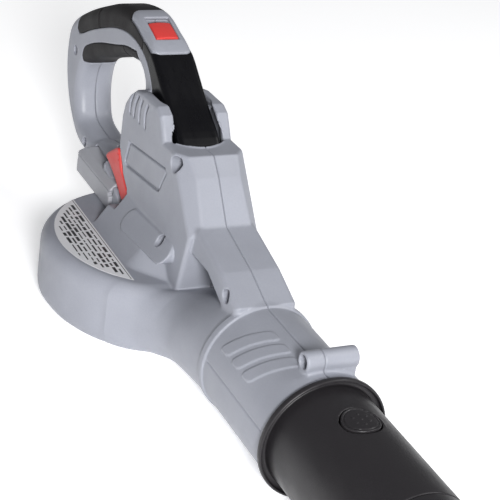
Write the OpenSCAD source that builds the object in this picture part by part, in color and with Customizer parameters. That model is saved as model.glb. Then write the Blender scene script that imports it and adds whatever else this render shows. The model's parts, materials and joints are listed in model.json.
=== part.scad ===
// Hand-held battery leaf blower: a flat fan housing under an upright motor block,
// a closed loop handle behind it and a two-piece blower tube in front.
// Origin: on the resting plane, straight below the fan shaft. +X runs out of the nozzle, +Z is up.

/* [Fan housing] */
// Height of the flat fan housing
fan_h = 52; // [44:1:56]
// Scroll radius on the left-hand side, where the scroll is tightest
scroll_small_r = 73.6; // [70:0.2:75]
// Scroll radius on the right-hand side, where the scroll is widest
scroll_large_r = 90; // [86:0.5:94]
// Wall thickness of the plastic shells
wall = 2.5; // [2:0.1:3]

/* [Motor block] */
// Half width of the motor block
block_half_w = 26; // [25:0.5:28]
// Half width of the loop handle
loop_half_w = 16; // [15:0.5:18]
// Diameter of the motor can
motor_d = 36; // [30:0.5:37]

/* [Blower tube] */
// Height of the tube axis above the resting plane
axis_z = 43; // [43:0.5:50]
// Outer radius of the blower tube
tube_r = 37.5; // [35:0.5:37.5]
// Wall thickness of the blower tube
tube_wall = 2.5; // [2:0.1:3]
// Outer radius of the collar that holds the tube
collar_r = 40.25; // [39.75:0.05:41]
// Outer radius of the tube flange
flange_r = 43; // [42:0.5:43]
// Length of the front tube
front_tube_len = 334; // [200:1:400]

/* [Battery] */
// Length of the battery pack
pack_len = 71; // [70:0.5:71]
// Half width of the battery pack
pack_half_w = 29.5; // [29:0.5:31]

/* [Fan] */
// Outer radius of the impeller
fan_r = 62; // [50:1:64]
// Number of impeller blades
blade_count = 9; // [5:1:12]

/* [Hidden] */
$fn = 64;
eps = 0.01;

collar_x0 = 161;                       // rear end of the collar
collar_x1 = 254;                       // front end of the collar
collar_in_r = tube_r + 0.08;           // running fit for the tube's spigot
tube_x0 = 172;                         // rear end of the tube inside the collar
flange_x0 = collar_x1 + 0.3;
flange_x1 = 259;
joint_x = 365;                         // where the two tubes meet
spigot_len = 40;
spigot_r = tube_r - tube_wall - 0.08;
front_x1 = joint_x + front_tube_len;
pack_x0 = -112.5;
pack_x1 = pack_x0 + pack_len;
pack_z0 = 52.6;
pack_z1 = 73.8;
bay_gap = 0.4;
latch_pin = [-22, 73];                 // X and Z of the latch pivot
latch_pin_r = 2.5;
latch_y1 = -22.4;                      // inner face of the lever's plate
catch_x = 243.5;                       // rear end of the tube's catch
button_x = 293;
button_r = 12;
skin = 2.4;                            // thickness of pads and panels let into the loop
// X and Z of the screws that clamp the two housing halves, with the half width there
screw_spots = [[57, 135, 26], [56, 77, 26], [149, 84, 20], [-172, 130, 16], [-135, 66, 16]];
// X and Z of the screw boss across the front of the collar, its ends and its radius
boss_at = [239, 88];
boss_y = [-12, 24];
boss_r = 6.75;
cover_r = 60;
cover_screw_r = 56.5;
board_spots = [[-2, 15], [34, -15]];   // X and Y of the circuit board's screws
switch_mid = [-44, 189];               // X and Z of the middle of the switch
switch_tilt = 15;                      // slope of the bezel, degrees

// ---------- outlines ----------
function unit2(v) = v / norm(v);
function turn_sum(p) = let (n = len(p))
    [for (i = 0, s = 0; i <= n; s = s + cross(p[i % n], p[(i + 1) % n]), i = i + 1) s][n];
// Moves every side of a closed outline inwards by d
function inset(p, d) = let (n = len(p), s = sign(turn_sum(p)))
    [for (i = [0:n - 1]) let (a = p[(i + n - 1) % n], b = p[i], c = p[(i + 1) % n],
        u = unit2(b - a), v = unit2(c - b), m = [-u[1], u[0]], k = [-v[1], v[0]])
        b + s * d * (m + k) / (1 + m * k)];

function scroll_r(t) = scroll_small_r + (scroll_large_r - scroll_small_r) * t / 180;
scroll_front = [[30, -86], [56, -78], [74, -66], [88, -53], [88, 48], [50, 64]];
scroll_line = concat([for (t = [0:9:180]) scroll_r(t) * [-sin(t), cos(t)]], scroll_front);

loop_line = [[-20, 73], [40, 96], [44, 138.5], [10, 162], [-24, 186], [-46, 195], [-68, 199.5],
    [-98, 194.5], [-127, 182.5], [-160, 167], [-188, 150], [-196, 134], [-194.5, 108], [-183, 84],
    [-166, 65], [-154, 58], [-108, 56], [-108, 73]];
hole_line = [[-150, 78], [-124, 74.6], [-112, 77], [-96, 80.5], [-66, 90], [-46, 104], [-41, 118],
    [-40, 132], [-31, 148], [-31, 158], [-50, 168], [-75, 161], [-107, 148], [-140, 134],
    [-156, 121], [-161, 104], [-158, 88]];
block_line = [[-22, 50], [84, 50], [96, 105.5], [75, 132], [63, 143], [50, 142.3], [36, 142],
    [32.5, 148], [26, 157.5], [18, 161], [-8, 160.5], [-21, 157.5], [-31, 150], [-38, 141],
    [-41, 130], [-41, 106], [-21.5, 77]];
// Channel between the two humps of the block, above the gloss panel
channel_line = [[-50, 204], [-24, 186], [10, 162], [44, 138.5], [47, 138.5], [47, 204]];
channel_half_w = 16.4;
pocket_line = [[-66, 81], [-64.5, 89], [-40, 105.6], [-31.8, 95.8], [-27.8, 88.8], [-15.6, 77.6], [-15.6, 68],
    [-26.4, 66.6], [-45.5, 74.6], [-55, 77]];
pocket_floor_line = [[-67, 75], [-65, 89], [-42, 106], [-28, 100], [-12, 80], [-12, 64], [-40, 64],
    [-40, 75]];
hip_line = [[-68, 73], [-66, 90], [-46, 104], [-38, 108], [-18, 90], [-18, 73]];
neck_line = [[88, 84], [118, 84], [150, 70], [164, 70], [164, 83.5], [138, 94], [96, 105.5], [80, 105]];

module side_slab(line, y0, y1) translate([0, y1, 0]) rotate([90, 0, 0]) linear_extrude(y1 - y0) polygon(line);
module half_space(side) translate([-300, side > 0 ? 0 : -200, -20]) cube([700, 200, 300]);
module along_x(x0, x1, r) translate([x0, 0, axis_z]) rotate([0, 90, 0]) cylinder(r = r, h = x1 - x0);
module along_y(x, z, y0, y1, r) translate([x, y1, z]) rotate([90, 0, 0]) cylinder(r = r, h = y1 - y0);

// ---------- housing solids, each shrunk by d to make its own hollow ----------
module scroll(d) hull() {
    for (s = [[0, 8], [5, 2], [13, 0], [fan_h - 14, 0], [fan_h - 5, 2.5], [fan_h, 7.5]])
        translate([0, 0, min(max(s[0], d), fan_h - d - eps)])
            linear_extrude(eps) polygon(inset(scroll_line, s[1] + d));
}
module duct(d) hull() {
    translate([70, 0, 0]) for (y = [-38 + d, 34 - d], z = [16, fan_h - 16])
        translate([0, y, z]) rotate([0, 90, 0]) cylinder(r = 14 - d, h = 1, $fn = 32);
    along_x(collar_x0 - 1 + d / 10, collar_x0, collar_r - d, $fn = 48);
}
module block(d) difference() {
    side_slab(inset(block_line, d), -block_half_w + d, block_half_w - d);
    // 45 degree chamfers beside the sloping front facet
    for (s = [-1, 1]) translate([96, s * 18, 105.5]) rotate([0, -41.3, 0]) rotate([0, 0, s * 45])
        translate([-d, -40, -90]) cube([80, 80, 200]);
    side_slab(inset(channel_line, -d), -channel_half_w - d, channel_half_w + d);
}
module shoulder(d) for (s = [-1, 1])
    side_ramp(s, d);
module side_ramp(s, d) translate([-24 + d, 0, 0]) rotate([90, 0, 90]) linear_extrude(100 - 2 * d)
    polygon([[0, fan_h - 8], [s * (46 - 1.8 * d), fan_h - 8], [s * (46 - 1.8 * d), fan_h],
        [s * (26 - d), 80 - 1.5 * d],
        [0, 80 - 1.5 * d]]);
module loop_solid() difference() {
    side_slab(loop_line, -loop_half_w, loop_half_w);
    side_slab(hole_line, -loop_half_w - 1, loop_half_w + 1);
}
module loop_hollow() difference() {
    side_slab(inset(loop_line, wall + skin), -loop_half_w + wall, loop_half_w - wall);
    side_slab(inset(hole_line, -wall - skin), -loop_half_w, loop_half_w);
}
// Outer skin of the loop between two X values, above a height
module loop_skin(x0, x1, z0, half_w, gap) intersection() {
    difference() {
        side_slab(inset(loop_line, gap > 0 ? 0 : -1), -half_w, half_w);
        side_slab(inset(loop_line, skin - gap), -half_w - 1, half_w + 1);
    }
    translate([x0 + gap, -40, z0]) cube([x1 - x0 - 2 * gap, 80, 100]);
}
module under_skin(gap) intersection() {
    difference() {
        side_slab(inset(hole_line, -skin + gap), -12.5 + gap, 12.5 - gap);
        side_slab(hole_line, -30, 30);
    }
    translate([-142 + gap, -40, 128]) cube([82 - 2 * gap, 80, 60]);
}
module pad_regions(gap) {
    loop_skin(-24.5, 50, 134, 12.5 - gap, gap);
    loop_skin(-68, -24.5, 150, loop_half_w + (gap == 0 ? 1 : 0), gap);
    loop_skin(-174, -68, 140, 13.5 - gap, gap);
    under_skin(gap);
}
module tilt_at_switch() translate([switch_mid[0], 0, switch_mid[1]]) rotate([0, switch_tilt, 0]) children();

module housing_solid() difference() {
    union() {
        scroll(0);
        duct(0);
        block(0);
        shoulder(0);
        side_slab(neck_line, -22, 22);
        loop_solid();
        side_slab(hip_line, -block_half_w, block_half_w);
        translate([pack_x1 + bay_gap, -27, fan_h - 1]) cube([21.5, 54, 24]);
        along_x(collar_x0, collar_x1, collar_r);
        along_x(collar_x0, collar_x0 + 6, collar_r + 1.25);
        along_y(boss_at[0], boss_at[1], boss_y[0], boss_y[1], boss_r);
        translate([boss_at[0] - 6, boss_y[0], 78]) cube([12, boss_y[1] - boss_y[0], 10]);
    }
    scroll(wall);
    duct(wall);
    difference() {
        union() {
            block(wall);
            loop_hollow();
        }
        translate([-60, -60, fan_h - wall - 10]) cube([200, 120, 12.5]);
    }
    // room for the battery terminals
    translate([pack_x1 + bay_gap + 2, -24.5, fan_h]) cube([24, 49, 21]);
    side_slab(inset(neck_line, wall), -22 + wall, 22 - wall);
    along_x(collar_x0 - 1.5, collar_x1 + 1, collar_in_r);
    pad_regions(0);
    // battery bay, open towards both sides
    translate([pack_x0 - bay_gap, -60, fan_h]) cube([pack_len + 2 * bay_gap, 120, pack_z1 + bay_gap - fan_h]);
    // shaft passage and intake
    translate([0, 0, fan_h - 12]) cylinder(r = 8, h = 20);
    translate([0, 0, -1]) cylinder(r = cover_r + 0.3, h = wall + 2);
    // open-ended groove for the tube's catch
    translate([catch_x - 3, -3, axis_z + 30]) cube([collar_x1 - catch_x + 4, 6, 9.1]);
    // room for the switch slider and for the latch
    switch_room(24);
}
module switch_room(h) tilt_at_switch() translate([-15, -9, -14]) cube([25.5, 18, h]);
// Pocket that the lever swings in, with its pivot bore and the window for its arm
module latch_room() {
    side_slab(pocket_line, -block_half_w - 9, latch_y1 + 0.4);
    along_y(latch_pin[0], latch_pin[1], -30, 14, latch_pin_r + 0.08);
    translate([-47, -22.5, 63.5]) cube([25, 10, 10]);
    along_y(latch_pin[0], latch_pin[1], 11.6, 13.2, 4.8);
    along_y(latch_pin[0], latch_pin[1], -9.9, -3.4, 4.6);
}
// Floor of the lever's pocket and the inner bearing of its pin
module latch_support(side) {
    if (side < 0) side_slab(pocket_floor_line, latch_y1 - 0.6, latch_y1 + 2.8);
    if (side > 0) translate([-27, 8, fan_h - 1]) cube([10, 3, 27]);
}
module screw_boss(s, side) difference() {
    along_y(s[0], s[1], side > 0 ? 0 : -s[2] + 1, side > 0 ? s[2] - 1 : 0, 4.6);
    along_y(s[0], s[1], side > 0 ? -1 : -s[2], side > 0 ? 12 : 1, 1.6);
    if (side < 0) along_y(s[0], s[1], -s[2] - 1, -9, 3.9);
}
module housing_half(side) difference() {
    union() {
        intersection() {
            housing_solid();
            half_space(side);
        }
        for (s = screw_spots) screw_boss(s, side);
        latch_support(side);
        // ledge and bosses that the fan cover is screwed to
        intersection() {
            union() {
                ring(53, 63, wall - eps, 2);
                for (a = [45:90:315]) rotate(a)
                    translate([cover_screw_r, 0, wall - eps]) cylinder(r = 3.4, h = 6);
            }
            half_space(side);
        }
        // shelves for the circuit board
        for (b = board_spots) if (b[1] * side > 0) translate([b[0] - 3, side > 0 ? 12 : -24.5, 127.5])
            cube([6, 12.5, 6.4]);
        // rails that carry the battery pack
        for (x = [pack_x0 - bay_gap - 0.5, pack_x1 - 1.4]) translate([x, side > 0 ? 0 : -27, 64])
            cube([2.3, 27, 2]);
    }
    for (s = screw_spots) {
        if (side < 0) along_y(s[0], s[1], -s[2] - 3, -9, 3.9);
        along_y(s[0], s[1], -12, 12, 1.6);
    }
    along_y(boss_at[0], boss_at[1], boss_y[0] - 1, boss_y[1] - 3, 1.6);
    along_y(boss_at[0], boss_at[1], boss_y[0] - 1, -3, 3.6);
    for (a = [45:90:315]) rotate(a) translate([cover_screw_r, 0, 0]) cylinder(r = 1.3, h = 8);
    for (b = board_spots) translate([b[0], b[1], 125]) cylinder(r = 1.35, h = 10);
    for (y = blade_y) translate([-43.2, y - 0.6, 64.5]) cube([4.4, 1.2, 4]);
    latch_room();
}
module housing_right() color([0.56, 0.57, 0.60]) housing_half(-1);
module housing_left() color([0.54, 0.55, 0.58]) housing_half(1);

module fan_cover() color([0.24, 0.24, 0.25]) difference() {
    union() {
        cylinder(r = cover_r, h = wall - 0.1);
        difference() {
            translate([0, 0, wall - 0.1 - eps]) cylinder(r = 46, h = 6);
            translate([0, 0, wall - 1]) cylinder(r = 43.5, h = 9);
        }
    }
    for (i = [-5:5]) let (half = sqrt(40 * 40 - 49 * i * i))
        translate([7 * i - 1.75, -half, -1]) cube([3.5, 2 * half, wall + 2]);
    for (a = [45:90:315]) rotate(a) translate([cover_screw_r, 0, -1]) {
        cylinder(r = 1.5, h = 9);
        cylinder(r = 2.7, h = 2.9);
    }
}
module small_screw(len, head_r, shaft_r) {
    difference() {
        cylinder(r = head_r, h = 1.8);
        translate([0, 0, -0.1]) for (a = [0, 90]) rotate(a) translate([-head_r * 0.6, -0.4, 0])
            cube([head_r * 1.2, 0.8, 1.1]);
    }
    translate([0, 0, 1.8 - eps]) cylinder(r = shaft_r, h = len, $fn = 32);
}
module cover_screws() color("silver") for (a = [45:90:315]) rotate(a)
    translate([cover_screw_r, 0, 0.1]) small_screw(5, 2.5, 1.25);
module housing_screws() color("silver") {
    for (s = screw_spots) translate([s[0], -12, s[1]]) rotate([-90, 0, 0]) small_screw(20, 3.6, 1.5);
    translate([boss_at[0], -5, boss_at[1]]) rotate([-90, 0, 0]) small_screw(22, 3.3, 1.5);
}
module top_panel() color([0.07, 0.07, 0.08]) loop_skin(-24.5, 50, 134, 12.4, 0.1);
module switch_bezel() color([0.62, 0.63, 0.65]) difference() {
    loop_skin(-68, -24.5, 150, loop_half_w, 0.1);
    switch_room(30);
}
module grip_pad_top() color([0.17, 0.17, 0.18]) difference() {
    loop_skin(-174, -68, 140, 13.4, 0.1);
    translate([-131, -20, 183]) rotate([0, -22, 0]) cube([3, 40, 8], center = false);
}
module grip_pad_under() color([0.17, 0.17, 0.18]) under_skin(0.1);
module rating_label() color([0.85, 0.85, 0.86]) intersection() {
    translate([0, 0, fan_h + 0.02]) cylinder(r = 81, h = 0.3);
    translate([-200, -200, 0]) cube([268, 152, 100]);
}

// ---------- motor and fan ----------
motor_z0 = 66;
motor_z1 = 122;
motor_r = motor_d / 2;
shaft_r = 1.6;
module motor_can() color([0.72, 0.72, 0.74]) difference() {
    translate([0, 0, motor_z0]) cylinder(r = motor_r, h = motor_z1 - motor_z0);
    translate([0, 0, motor_z0 + 1.5]) cylinder(r = motor_r - 1.5, h = 100);
    translate([0, 0, motor_z0 - 1]) cylinder(r = 5, h = 9);
    for (a = [30, 150]) rotate(a) translate([12, 0, motor_z0 - 1]) cylinder(r = 1.55, h = 4);
}
module motor_magnets() color([0.25, 0.25, 0.27]) for (a = [0, 180]) rotate(a) difference() {
    translate([0, 0, 72]) intersection() {
        cylinder(r = motor_r - 1.55, h = 42);
        rotate(-50) cube([30, 30, 50]);
        rotate(-40) cube([30, 30, 50]);
    }
    translate([0, 0, 70]) cylinder(r = motor_r - 4.6, h = 60);
}
module motor_end_cap() color([0.85, 0.84, 0.78]) difference() {
    union() {
        for (s = [-1, 1]) translate([s > 0 ? 5 : -13, -3, 112.5]) cube([8, 6, 8]);
        translate([0, 0, motor_z1]) cylinder(r = motor_r, h = 4);
        translate([0, 0, motor_z1 - 3]) cylinder(r = motor_r - 1.55, h = 4);
        translate([0, 0, motor_z1 + 3]) cylinder(r = 7, h = 4);
    }
    translate([0, 0, motor_z1 - 4]) cylinder(r = 5, h = 12);
    for (s = [-1, 1]) translate([s > 0 ? 4 : -10, -1.55, 114.45]) cube([6, 3.1, 4.1]);
}
module motor_brushes() color([0.3, 0.3, 0.32]) for (s = [-1, 1])
    translate([s > 0 ? 4.3 : -9.3, -1.5, 114.5]) cube([5, 3, 4]);
module ring(r0, r1, z, h) translate([0, 0, z]) difference() {
    cylinder(r = r1, h = h);
    translate([0, 0, -1]) cylinder(r = r0, h = h + 2);
}
module lower_bearing() color("silver") ring(shaft_r + 0.05, 5, 66, 4.5);
module upper_bearing() color("silver") ring(shaft_r + 0.05, 5, 123, 4);
mount_corner = [-16.5, -19.4];
mount_size = [35.5, 40.4];
mount_plate = 3.5;                     // thickness of the plate under the motor
mount_leg = 3.3;                       // thickness of each of its two legs
module motor_mount() color([0.2, 0.2, 0.22]) difference() {
    union() {
        translate([mount_corner[0], mount_corner[1], motor_z0 - mount_plate])
            cube([mount_size[0], mount_size[1], mount_plate]);
        for (x = [0, mount_size[0] - mount_leg])
            translate([mount_corner[0] + x, mount_corner[1], fan_h + 0.6])
            cube([mount_leg, mount_size[1], 11.5]);
    }
    translate([0, 0, 50]) cylinder(r = 7, h = 30);
    for (a = [30, 150]) rotate(a) translate([12, 0, 55]) cylinder(r = 1.55, h = 14);
}
module motor_screws() color("silver") for (a = [30, 150]) rotate(a)
    translate([12, 0, 60.6]) small_screw(5, 2.6, 1.5);
module motor_shaft() color([0.8, 0.8, 0.82]) translate([0, 0, 9]) cylinder(r = shaft_r, h = 121);
module armature() color([0.5, 0.5, 0.52]) difference() {
    translate([0, 0, 76]) cylinder(r = 12.4, h = 30);
    translate([0, 0, 70]) cylinder(r = shaft_r, h = 60);
    for (a = [0:72:288]) rotate(a) translate([6, -1.4, 75]) cube([9, 2.8, 33]);
}
module windings() color([0.75, 0.42, 0.2]) for (z = [72.5, 106.1]) ring(3, 10.8, z, 3.4);
module commutator() color([0.8, 0.5, 0.3]) ring(shaft_r, 4.2, 110, 9);
module impeller() color([0.12, 0.12, 0.13]) {
    difference() {
        union() {
            translate([0, 0, 36]) cylinder(r = fan_r, h = 2);
            translate([0, 0, 14]) cylinder(r = 7, h = 23);
        }
        translate([0, 0, 10]) cylinder(r = shaft_r, h = 40);
    }
    for (a = [0:360 / blade_count:359]) rotate(a) blade();
}
// Backward-curved blade: a slice of a ring
module blade() intersection() {
    translate([33, 26, 12]) difference() {
        cylinder(r = 34, h = 24.1);
        translate([0, 0, -1]) cylinder(r = 32.2, h = 30);
    }
    difference() {
        translate([0, 0, 10]) cylinder(r = fan_r - 1, h = 30);
        translate([0, 0, 9]) cylinder(r = 16, h = 32);
    }
    translate([0, -60, 0]) cube([70, 86, 60]);
}
module fan_washer() color("silver") ring(shaft_r + 0.02, 4.5, 12.9, 1.05);
module fan_nut() color("silver") translate([0, 0, 9.6]) difference() {
    cylinder(r = 3.6, h = 3.2, $fn = 6);
    translate([0, 0, -1]) cylinder(r = shaft_r, h = 6, $fn = 48);
}

// ---------- switch and electrics ----------
module power_switch() color([0.77, 0.26, 0.24]) tilt_at_switch() {
    translate([-9.5, -8.7, -2]) cube([19.5, 17.4, 7.6]);
    translate([-3, -3, -6]) cube([6, 6, 5]);
}
module switch_body() color([0.1, 0.1, 0.1]) tilt_at_switch() difference() {
    translate([-15, -8.5, -13.5]) cube([30, 17, 8.5]);
    translate([-12, -4, -11]) cube([24, 8, 7]);
}
module switch_contact() color([0.85, 0.6, 0.35]) tilt_at_switch() translate([-2.5, -2.5, -8]) cube([5, 5, 2]);
module circuit_board() color([0.1, 0.35, 0.2]) difference() {
    translate([-6, -18, 134]) cube([44, 36, 1.6]);
    for (b = board_spots) translate([b[0], b[1], 130]) cylinder(r = 1.4, h = 8);
}
module board_parts() color([0.15, 0.15, 0.16]) {
    for (x = [4, 14]) translate([x, -12, 135.6]) cube([7, 9, 3]);
    translate([26, 8, 135.6]) cylinder(r = 4, h = 6);
    for (x = [4, 9, 14]) translate([x, 6, 135.6]) cube([3, 2, 1]);
    translate([24, -14, 135.6]) cube([5, 8, 2]);
}
module board_screws() color("silver") for (b = board_spots)
    translate([b[0], b[1], 137.5]) mirror([0, 0, 1]) small_screw(7, 2.4, 1.3);
module terminal_block() color([0.12, 0.12, 0.12]) difference() {
    translate([pack_x1 + 2.6, 12, 60]) cube([8, 12, 11]);
    for (y = blade_y) translate([pack_x1, y - 0.4, 64.8]) cube([20, 0.8, 3.4]);
}
blade_y = [15, 20.5];
module terminal_blades() color([0.85, 0.7, 0.35]) for (y = blade_y)
    translate([pack_x1 - 3, y - 0.4, 64.8]) cube([15, 0.8, 3.4]);

// Round lead swept along a line of points
function dir_at(p, i) = unit3((i == 0 ? p[1] - p[0] : i == len(p) - 1 ? p[i] - p[i - 1]
    : unit3(p[i] - p[i - 1]) + unit3(p[i + 1] - p[i])));
function unit3(v) = v / norm(v);
function flat_side(d) = unit3(cross(d, abs(d[1]) < 0.9 ? [0, 1, 0] : [1, 0, 0]));
module lead(p, r, sides = 8) {
    n = len(p);
    pts = [for (i = [0:n - 1]) let (d = dir_at(p, i), u = flat_side(d), v = cross(d, u))
        for (k = [0:sides - 1]) p[i] + r * (cos(360 * k / sides) * u + sin(360 * k / sides) * v)];
    faces = concat([[for (k = [0:sides - 1]) k]],
        [for (i = [0:n - 2], k = [0:sides - 1]) [i * sides + k, (i + 1) * sides + k,
            (i + 1) * sides + (k + 1) % sides, i * sides + (k + 1) % sides]],
        [[for (k = [sides - 1:-1:0]) (n - 1) * sides + k]]);
    polyhedron(points = pts, faces = faces, convexity = 6);
}
lead_r = 1.1;
module lead_red() color([0.8, 0.1, 0.1]) lead([[-28.4, 15, 66.6], [-20, 16, 67.8], [-16.5, 17, 72],
    [-17, 17, 80], [-21, 16, 92], [-21, 16, 112], [-18, 14.5, 122], [-15.5, 13, 127.8],
    [-10, 10, 129.5], [-5, 7.5, 131], [-3.5, 7, 132], [-3.5, 7, 133.8]], lead_r);
module lead_black() color([0.08, 0.08, 0.08]) lead([[-28.4, 20.5, 66.6], [-20, 20.5, 67.8],
    [-16.5, 21, 72], [-17, 21, 80], [-21, 20.5, 92], [-21, 20.5, 110], [-18, 19, 120],
    [-15, 16.5, 127.4], [-9.5, 13, 127.6], [-5, 10.3, 128.2], [1.5, 8.5, 131.3],
    [1.5, 8.5, 133.8]], lead_r);
module motor_lead_red() color([0.8, 0.1, 0.1])
    lead([[10, 4, 127.05], [14, 7, 130], [20, 8, 131.3], [21.8, 8, 133.1]], lead_r);
module motor_lead_black() color([0.08, 0.08, 0.08])
    lead([[10, -4, 127.05], [14, -7, 130], [20, -8, 131.3], [21.8, -8, 133.1]], lead_r);
module switch_lead_red() color([0.8, 0.1, 0.1]) lead([[0, 5, 135.8], [0, 5, 138], [-2, 5, 144],
    [-14, 5, 158], [-28, 5, 168], [-37, 5, 171.4], [-42.1, 5, 172.7], [-41.77, 5, 174]], lead_r);
module switch_lead_black() color([0.08, 0.08, 0.08]) lead([[0, -5, 135.8], [0, -5, 138],
    [-2, -5, 144], [-14, -5, 158], [-28, -5, 168], [-37, -5, 171.4], [-42.1, -5, 172.7],
    [-41.77, -5, 174]], lead_r);

// ---------- battery latch ----------
latch_line = [[-63, 88], [-40, 104], [-33, 95], [-29, 88], [-17, 77], [-17, 69], [-26, 68],
    [-44, 78.5], [-53, 83]];
module battery_latch() color([0.77, 0.26, 0.24]) {
    side_slab(latch_line, -block_half_w - 0.8, latch_y1);
    along_y(latch_pin[0], latch_pin[1], latch_y1 - 1, 12, latch_pin_r);
    translate([-44, -21, 68.5]) cube([21, 7, 3]);
}
module latch_clip() color([0.75, 0.75, 0.78])
    translate([latch_pin[0], 12.6, latch_pin[1]]) rotate([90, 0, 0]) difference() {
    cylinder(r = 4.2, h = 0.6);
    translate([0, 0, -1]) cylinder(r = 1, h = 3);
}
function coil(turns, r, pitch, steps) = [for (i = [0:turns * steps])
    [r * cos(360 * i / steps), r * sin(360 * i / steps), pitch * i / steps]];
module latch_spring() color("silver") translate([latch_pin[0], -4, latch_pin[1]]) rotate([90, 0, 0])
    lead(coil(4, 3.6, 1.3, 12), 0.45, 6);

// ---------- battery pack ----------
module pack_solid(d) difference() {
    side_slab([[pack_x0 + d, pack_z0 + d], [pack_x1 - d, pack_z0 + d], [pack_x1 - d, pack_z1 - d],
        [pack_x0 + 3 + d, pack_z1 - d],
        [pack_x0 + d, pack_z1 - 4 - d]], -pack_half_w + d, pack_half_w - d);
    for (s = [-1, 1]) translate([-200, s * (pack_half_w - d), pack_z1 - 5 - d]) rotate([-s * 45, 0, 0])
        translate([0, -10, 0]) cube([300, 20, 14]);
}
split_z = 67.4;
pack_screw_x = pack_x1 - 4.8;
pack_screw_y = [-25.3, 25.3];
module pack_half(upper) difference() {
    intersection() {
        difference() {
            pack_solid(0);
            difference() {
                pack_solid(1.5);
                for (y = pack_screw_y) translate([pack_screw_x, y, 50]) cylinder(r = 2.5, h = 30);
            }
        }
        translate([-200, -60, upper ? split_z : 0]) cube([300, 120, upper ? 40 : split_z]);
    }
    for (y = pack_screw_y) translate([pack_screw_x, y, 50]) {
        cylinder(r = 1.1, h = 18);
        cylinder(r = 2, h = 4.5);
    }
    // grooves for the rails
    translate([pack_x0 - 1, -60, 63.6]) cube([2.4, 120, 2.8]);
    translate([pack_x1 - 2, -60, 63.6]) cube([3, 120, 2.8]);
    // open-ended channels for the latch arm and for the contact blades
    translate([pack_x1 - 3.4, -22, 64]) cube([5, 60, 8.6]);
}
module battery_lower_case() color([0.52, 0.53, 0.57]) pack_half(false);
module battery_upper_case() color([0.5, 0.51, 0.55]) pack_half(true);
cell_r = 9;
module battery_cells() color([0.2, 0.45, 0.7]) for (i = [-1:1])
    translate([pack_x0 + 4.6, 18.3 * i, 63.2]) rotate([0, 90, 0])
    cylinder(r = cell_r - 0.1, h = 58);
module cell_strips() color([0.8, 0.8, 0.78]) {
    translate([pack_x0 + 4.2, -24, 60]) cube([0.3, 30, 7]);
    translate([pack_x0 + 62.8, -6, 57]) cube([0.3, 30, 6]);
}
module battery_contacts() color([0.85, 0.7, 0.35]) for (y = blade_y)
    translate([pack_x1 - 4.6, y - 1.6, 62]) cube([1, 3.2, 7]);
module battery_screws() color("silver") for (y = pack_screw_y)
    translate([pack_screw_x, y, pack_z0 + 0.1]) small_screw(12, 1.9, 1);

// ---------- blower tube ----------
module pipe(x0, x1, r1, r0) difference() {
    along_x(x0, x1, r1, $fn = 96);
    along_x(x0 - 1, x1 + 1, r0, $fn = 96);
}
module rear_tube() color([0.2, 0.19, 0.2]) difference() {
    union() {
        pipe(tube_x0, joint_x, tube_r, tube_r - tube_wall);
        pipe(flange_x0, flange_x1, flange_r, tube_r - 1);
        pipe(joint_x - 4, joint_x, tube_r, spigot_r - 2);
        pipe(joint_x - 4, joint_x + spigot_len, spigot_r, spigot_r - 2);
        translate([button_x, 0, axis_z + 28]) cylinder(r = button_r + 2.5, h = 7.5);
    }
    translate([button_x, 0, axis_z + 30]) cylinder(r = button_r + 0.4, h = 20);
    translate([button_x, 0, axis_z + 20]) cylinder(r = 3.4, h = 20);
    along_x(0, joint_x, 27.5);
    translate([catch_x - 1.5, -2.7, axis_z + 20]) cube([7, 5.4, 20]);
    // groove for the seal ring
    pipe(tube_x0 + 6, tube_x0 + 9, tube_r + 1, tube_r - 1.2);
}
module tube_seal() color([0.08, 0.08, 0.08])
    pipe(tube_x0 + 6.05, tube_x0 + 8.95, tube_r + 0.03, tube_r - 1.2);
module front_tube() color([0.19, 0.18, 0.19]) difference() {
    union() {
        pipe(joint_x + 0.3, front_x1, tube_r, tube_r - tube_wall);
        pipe(front_x1 - 8, front_x1, tube_r + 1.5, tube_r - 1);
    }
    along_x(0, joint_x, 60);
}
module tube_button() color([0.25, 0.24, 0.25]) translate([button_x, 0, axis_z]) {
    intersection() {
        translate([0, 0, 34]) cylinder(r = button_r, h = 10);
        rotate([0, 90, 0]) translate([0, 0, -20]) cylinder(r = tube_r + 0.6, h = 40, $fn = 128);
    }
    translate([0, 0, 25.5]) cylinder(r = 3.3, h = 10);
    translate([catch_x - button_x, -2.2, 25.5]) cube([button_x - catch_x, 4.4, 2]);
    translate([catch_x - button_x, -2.2, 27]) cube([4, 4.4, 11.3]);
    for (i = [-1:1], j = [-1:1]) translate([5 * i, 5 * j, tube_r - 0.6]) cylinder(r = 0.9, h = 1.5, $fn = 16);
}
module button_spring() color("silver")
    translate([button_x, 0, axis_z + 30.5]) lead(coil(3, 5.2, 1.02, 12), 0.4, 6);

housing_right();
housing_left();
fan_cover();
cover_screws();
housing_screws();
top_panel();
switch_bezel();
grip_pad_top();
grip_pad_under();
rating_label();
motor_can();
motor_magnets();
motor_end_cap();
motor_brushes();
lower_bearing();
upper_bearing();
motor_mount();
motor_screws();
motor_shaft();
armature();
commutator();
windings();
impeller();
fan_nut();
fan_washer();
power_switch();
switch_body();
switch_contact();
circuit_board();
board_parts();
board_screws();
terminal_block();
terminal_blades();
lead_red();
lead_black();
motor_lead_red();
motor_lead_black();
switch_lead_red();
switch_lead_black();
battery_latch();
latch_spring();
latch_clip();
battery_lower_case();
battery_upper_case();
battery_cells();
cell_strips();
battery_contacts();
battery_screws();
rear_tube();
tube_seal();
front_tube();
tube_button();
button_spring();
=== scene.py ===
import json
import math
import bpy
import numpy as np
import openvdb as vdb
from mathutils import Matrix, Vector


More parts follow.
